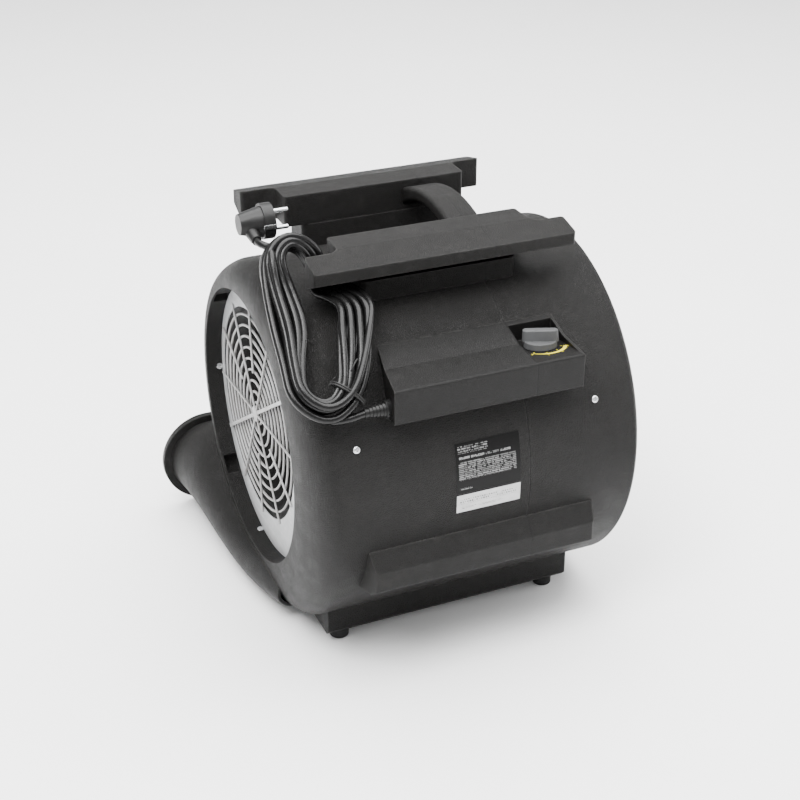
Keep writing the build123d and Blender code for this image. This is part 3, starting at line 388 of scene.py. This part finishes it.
def mesh_data(name, mesh):
    """A bmesh as mesh data, shaded smooth with its sharp edges marked."""
    data = bpy.data.meshes.new(name)
    mesh.to_mesh(data)
    mesh.free()
    for face in data.polygons:
        face.use_smooth = True
    data.set_sharp_from_angle(angle=SHARP_ANGLE)
    return data


def cross_head(radius, height):
    """A pan head about Z with a cross recess, its underside at zero."""
    dome = [(0, 0), (0, radius), (height * RIM_SHARE, radius)]
    for step in range(1, DOME_STEPS + 1):
        bend = step / DOME_STEPS * DOME_BEND
        rise = RIM_SHARE + (1 - RIM_SHARE) * sin(bend) / sin(DOME_BEND)
        dome.append((height * rise, radius * (1 - 0.55 * (1 - cos(bend)))))
    dome.append((height, 0))
    head = bpy.data.objects.new("head", mesh_data("head", turned(dome)))
    bpy.context.scene.collection.objects.link(head)
    cut = bmesh.new()
    for angle in (0, pi / 2):
        made = bmesh.ops.create_cube(cut, size=1.0)["verts"]
        size = Matrix.Diagonal((radius * 1.15, radius * 0.26, height, 1.0))
        place = Matrix.Translation((0, 0, height * 0.95)) @ Matrix.Rotation(angle, 4, "Z") @ size
        bmesh.ops.transform(cut, matrix=place, verts=made)
    cutter_data = bpy.data.meshes.new("cutter")
    cut.to_mesh(cutter_data)
    cut.free()
    cutter = bpy.data.objects.new("cutter", cutter_data)
    bpy.context.scene.collection.objects.link(cutter)
    difference = head.modifiers.new("recess", "BOOLEAN")
    difference.operation = "DIFFERENCE"
    difference.solver = "EXACT"
    difference.use_self = True
    difference.object = cutter
    depsgraph = bpy.context.evaluated_depsgraph_get()
    result = bpy.data.meshes.new_from_object(head.evaluated_get(depsgraph))
    bpy.data.objects.remove(head)
    bpy.data.objects.remove(cutter)
    return result


def screw_heads(name, node, radius, height, places):
    """Pan heads at (origin, axis, turn) places, joined as one piece that replaces a CAD node."""
    pattern = cross_head(radius, height)
    mesh = bmesh.new()
    for origin, axis, spin in places:
        before = len(mesh.verts)
        mesh.from_mesh(pattern)
        mesh.verts.ensure_lookup_table()
        added = mesh.verts[before:]
        place = frame_on(origin, axis) @ Matrix.Rotation(spin, 4, "Z")
        bmesh.ops.transform(mesh, matrix=place, verts=added)
    made = piece(name, mesh_data(name, mesh), "zinc")
    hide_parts(node)
    return made


def spline(name, points, radius, key, body="housing", sides=4):
    """A round tube on one open NURBS spline, its control points in metres."""
    data = bpy.data.curves.new(name, "CURVE")
    data.dimensions = "3D"
    data.bevel_depth = radius
    data.bevel_resolution = sides
    data.resolution_u = 6
    data.use_fill_caps = True
    line = data.splines.new("NURBS")
    line.points.add(len(points) - 1)
    for target, point in zip(line.points, points):
        target.co = (*point, 1.0)
    line.order_u = 3
    line.use_endpoint_u = True
    return piece(name, data, key, body)


# ---------------------------------------------------------------- floor
pale = Finish("floor_paper", Specular_IOR_Level=0.2)
pale_tint = pale.remap(pale.noise(1.5, 4.0), 0.3, 0.7)
pale_colour = pale.mix(pale_tint, (0.86, 0.86, 0.86, 1.0), (0.89, 0.89, 0.89, 1.0))
pale.bump(pale.noise(300.0, 3.0), 0.0001)
FINISHES["floor"] = pale.finish(pale_colour, pale.remap(pale.noise(4.0), 0.3, 0.7, 0.7, 0.8))
FLOOR_HALF = 9.0
floor_mesh = bmesh.new()
bmesh.ops.create_grid(floor_mesh, x_segments=8, y_segments=8, size=FLOOR_HALF)
floor_data = bpy.data.meshes.new("floor")
floor_mesh.to_mesh(floor_data)
floor_mesh.free()
floor = bpy.data.objects.new("floor", floor_data)
floor.data.materials.append(FINISHES["floor"])
bpy.context.scene.collection.objects.link(floor)


# ---------------------------------------------------------------- mains cord on its hook
CORD_D = 0.008
# Stations round the hank, in millimetres: x, y, z, width and thickness of the section
HANK = [
    (-167, -199, 344, 44, 18), (-145, -196, 354, 36, 18), (-129, -177, 376, 41, 16),
    (-118, -150, 397, 48, 15), (-107, -124, 409, 46, 14), (-119, -99, 414, 38, 14),
    (-131, -84, 417.3, 33, 14), (-132, -77, 434, 28, 16.5), (-141, -70, 458, 24, 22),
    (-160, -69, 469.5, 22, 22), (-176, -78, 458, 27, 20), (-178, -97, 432, 37, 18),
    (-179, -131, 401, 44, 18), (-183, -160, 376, 42, 18), (-187, -187, 354, 40, 18),
]
STATIONS = len(HANK)
HANK_LIFT_Z = 430.0
DRUM_Y, DRUM_Z = -16.0, 214.0
# Each turn's place in the section, as shares of its half width and half thickness: spread out, and over the hook
SPREAD = [
    (-0.8, -1), (-0.3, -1), (0.25, -1), (0.75, -1), (1.0, 0.75),
    (0.5, 1), (0.0, 0.8), (-0.5, 1), (-1.0, 0.7), (-0.25, 2.3),
]
BUNCHED = [
    (-1.4, -1), (-0.6, -1), (0.2, -1), (0.3, 0.0), (0.25, 1.0),
    (-0.5, 1.0), (-0.55, 0.05), (-1.3, 0.95), (-1.45, 0.05), (-0.9, 2.0),
]
# By station: how far the turns are bunched
BUNCH_SHARE = {7: 0.75, 8: 1.0, 9: 1.0, 10: 0.9, 11: 0.3}
# Inner strands keep this share of their way in at the lower fold, and lie thicker there
FOLD_SHARE = {12: 0.8, 13: 0.35, 14: 0.2, 0: 0.35, 1: 0.8}
# By station: how far the hank is raised off its centre line, in millimetres
LIFT = {3: 3.0, 4: 7.0, 5: 8.0, 6: 3.0}
TURNS = 9
wander = random.Random(11)
turn_size = [wander.uniform(-1.0, 1.0) for _ in range(TURNS + 1)]


def hank_axes(index):
    """A station's centre and its width and thickness directions, as in the CAD model."""
    here = Vector(HANK[index][:3])
    along = Vector(HANK[(index + 1) % STATIONS][:3]) - Vector(HANK[index - 1][:3])
    along.normalize()
    facing = Vector((0, -0.8, 0.6))
    if here.z < HANK_LIFT_Z:
        facing = Vector((0, here.y - DRUM_Y, here.z - DRUM_Z))
    facing.normalize()
    across = (facing - along * facing.dot(along)).normalized()
    return here, across.cross(along), across


def strand(index, turn_at):
    """Where the cord lies at a station on a turn; it changes place in the last third of each turn."""
    here, wide, thick = hank_axes(index)
    width, thickness = HANK[index][3:]
    number = min(int(turn_at), TURNS)
    shift = min(1.0, max(0.0, (turn_at - number - 0.66) / 0.34))
    shift = shift * shift * (3 - 2 * shift)
    after = min(number + 1, TURNS)
    bunch = BUNCH_SHARE.get(index, 0.0)
    u = v = 0.0
    for share, slot_at in ((1 - shift, number), (shift, after)):
        for part, table in ((1 - bunch, SPREAD), (bunch, BUNCHED)):
            u += share * part * table[slot_at][0]
            v += share * part * table[slot_at][1]
    inward = FOLD_SHARE.get(index, 1.0)
    if u > -0.4:
        v += 0.6 * (1 - inward) * (u + 0.4)
        u = -0.4 + (u + 0.4) * inward
    low = 1.0 if index in (0, 1, 14) else 0.0
    u += wander.uniform(-0.08, 0.08) - 0.12 * low * turn_size[number]
    v += wander.uniform(-0.12, 0.12)
    across = v * (thickness / 2 - 4.0) + LIFT.get(index, 0.0)
    return (here + wide * u * (width / 2 - 4.0) + thick * across) * MM


GLAND_END = mm(-124, -205, 332)
route = [GLAND_END, mm(-131, -205, 332), mm(-138.5, -206, 331), mm(-147, -208, 331)]
for step in range(TURNS * STATIONS + 6):
    index = -step % STATIONS
    route.append(strand(index, step / STATIONS))
route += [mm(-175, -64, 464.5), mm(-181, -57, 465.5), mm(-184, -50, 466), mm(-184, -44, 466)]
cord = spline("mains_cord", route, CORD_D / 2, "cord", sides=5)
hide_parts("power_cord_hank", "power_cord_lead", "power_cord_plug_lead")

# Cord relief and plug ribs: (height, radius) in millimetres
RELIEF_START, PLUG_END = mm(-96, -205, 332), mm(-184, -24.5, 472.2)
relief = [(0, 0), (0, 7.2), (5, 7.2), (5, 9.2), (6, 9.6), (12.4, 9.6), (13.2, 9.0), (13.2, 7.6)]
for rib in range(5):
    start, wide = 14.0 + 3.6 * rib, 7.5 - 0.5 * rib
    relief += [(start, wide), (start + 1.9, wide - 0.2)]
    relief += [(start + 2.2, wide - 0.95), (start + 3.3, wide - 1.05)]
relief += [(33.0, 4.9), (35.0, 4.7), (35.0, 0)]
relief_mesh = turned([(height * MM, radius * MM) for height, radius in relief])
bmesh.ops.transform(relief_mesh, matrix=frame_on(RELIEF_START, (-1, 0, 0)), verts=relief_mesh.verts)
gland = piece("cord_relief", mesh_data("cord_relief", relief_mesh), "plug")
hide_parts("cord_gland")

ribs = []
for rib in range(5):
    start, wide = 3.6 * rib, 8.6 - 0.72 * rib
    ribs += [(start, wide - 1.1), (start + 0.3, wide)]
    ribs += [(start + 2.2, wide - 0.1), (start + 2.5, wide - 1.2)]
plug_tail = turned([(0, 0)] + [(height * MM, radius * MM) for height, radius in ribs] + [(0.0185, 0)])
bmesh.ops.transform(plug_tail, matrix=frame_on(PLUG_END, (0, -0.92, -0.39)), verts=plug_tail.verts)
plug_ribs = piece("plug_ribs", mesh_data("plug_ribs", plug_tail), "plug")

# ---------------------------------------------------------------- pan-head screws
DRUM_R, DRUM_SCREWS_X = 206.0, (-140.6, 135.5)
drum_places = []
for angle in (157.5, 22.5, -30.0):
    out = Vector((0, cos(radians(angle)), sin(radians(angle))))
    for x in DRUM_SCREWS_X:
        drum_places.append((mm(x, DRUM_Y, DRUM_Z) + out * (DRUM_R - 0.15) * MM, out, 0.6 + x + angle))
screw_heads("drum_screw_heads", "drum_screws", 4.0 * MM, 2.4 * MM, drum_places)

# ---------------------------------------------------------------- marks of the speed dial
KNOB_TILT = radians(6.9)
knob_origin = mm(81, -179, 354.554)
knob_place = Matrix.Translation(knob_origin) @ Matrix.Rotation(-KNOB_TILT, 4, "X")
MARK_ANGLES = (-136.0, -100.0, -64.0, -28.0)
TICK_SIZE = (2.4 * MM, 0.7 * MM, 0.24 * MM, 1.0)
TICK_REACH, NUMBER_REACH, ZERO_REACH = 21.6, 28.6, 27.4
ticks = bmesh.new()
for angle in MARK_ANGLES:
    bar = bmesh.new()
    bmesh.ops.create_cube(bar, size=1.0)
    bmesh.ops.transform(bar, matrix=Matrix.Diagonal(TICK_SIZE), verts=bar.verts)
    bmesh.ops.bevel(bar, geom=bar.edges[:], offset=0.05 * MM, segments=2, affect="EDGES")
    spot = Matrix.Rotation(radians(angle), 4, "Z") @ Matrix.Translation(mm(TICK_REACH, 0, 0.12))
    bmesh.ops.transform(bar, matrix=knob_place @ spot, verts=bar.verts)
    bar_data = bpy.data.meshes.new("bar")
    bar.to_mesh(bar_data)
    bar.free()
    ticks.from_mesh(bar_data)
piece("dial_ticks", mesh_data("dial_ticks", ticks), "scale")
for number, angle in enumerate(MARK_ANGLES):
    text = bpy.data.curves.new(f"dial_{number}", "FONT")
    text.body = str(number)
    text.size = 4.6 * MM
    text.extrude = 0.1 * MM
    text.align_x = "CENTER"
    text.align_y = "CENTER"
    numeral = piece(f"dial_{number}", text, "scale")
    reach = NUMBER_REACH if number else ZERO_REACH
    spot = Matrix.Translation(mm(reach * cos(radians(angle)), reach * sin(radians(angle)), 0.15))
    numeral.matrix_world = knob_place @ spot

# ---------------------------------------------------------------- twisted wire tie round the hank
tie_here, tie_wide, tie_thick = hank_axes(1)
sideways = tie_wide.cross(tie_thick)
TIE_TURNS, TIE_STEPS = 2, 10
TIE_HALF_WIDTH, TIE_HALF_THICKNESS, TIE_PITCH = 21.0, 13.2, 2.2
TAIL_STEPS, TAIL_CURL, CURL_R = 8, 0.9, 0.004
tie_points = []
for step in range(TIE_TURNS * TIE_STEPS + 1):
    bend = 2 * pi * step / TIE_STEPS - 0.5
    along = (step / TIE_STEPS - 1) * TIE_PITCH
    out = tie_wide * TIE_HALF_WIDTH * cos(bend) + tie_thick * TIE_HALF_THICKNESS * sin(bend)
    tie_points.append((tie_here + out + sideways * along) * MM)
tail_from = tie_points[-1]
for step in range(1, TAIL_STEPS + 1):
    curl = step * TAIL_CURL
    offset = Vector((0.0035 * step, -0.003 + CURL_R * sin(curl), 0.0022 * step + CURL_R * cos(curl)))
    tie_points.append(tail_from + offset)
tie = spline("tie_wire", tie_points, 0.0009, "tie")
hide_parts("cord_tie")
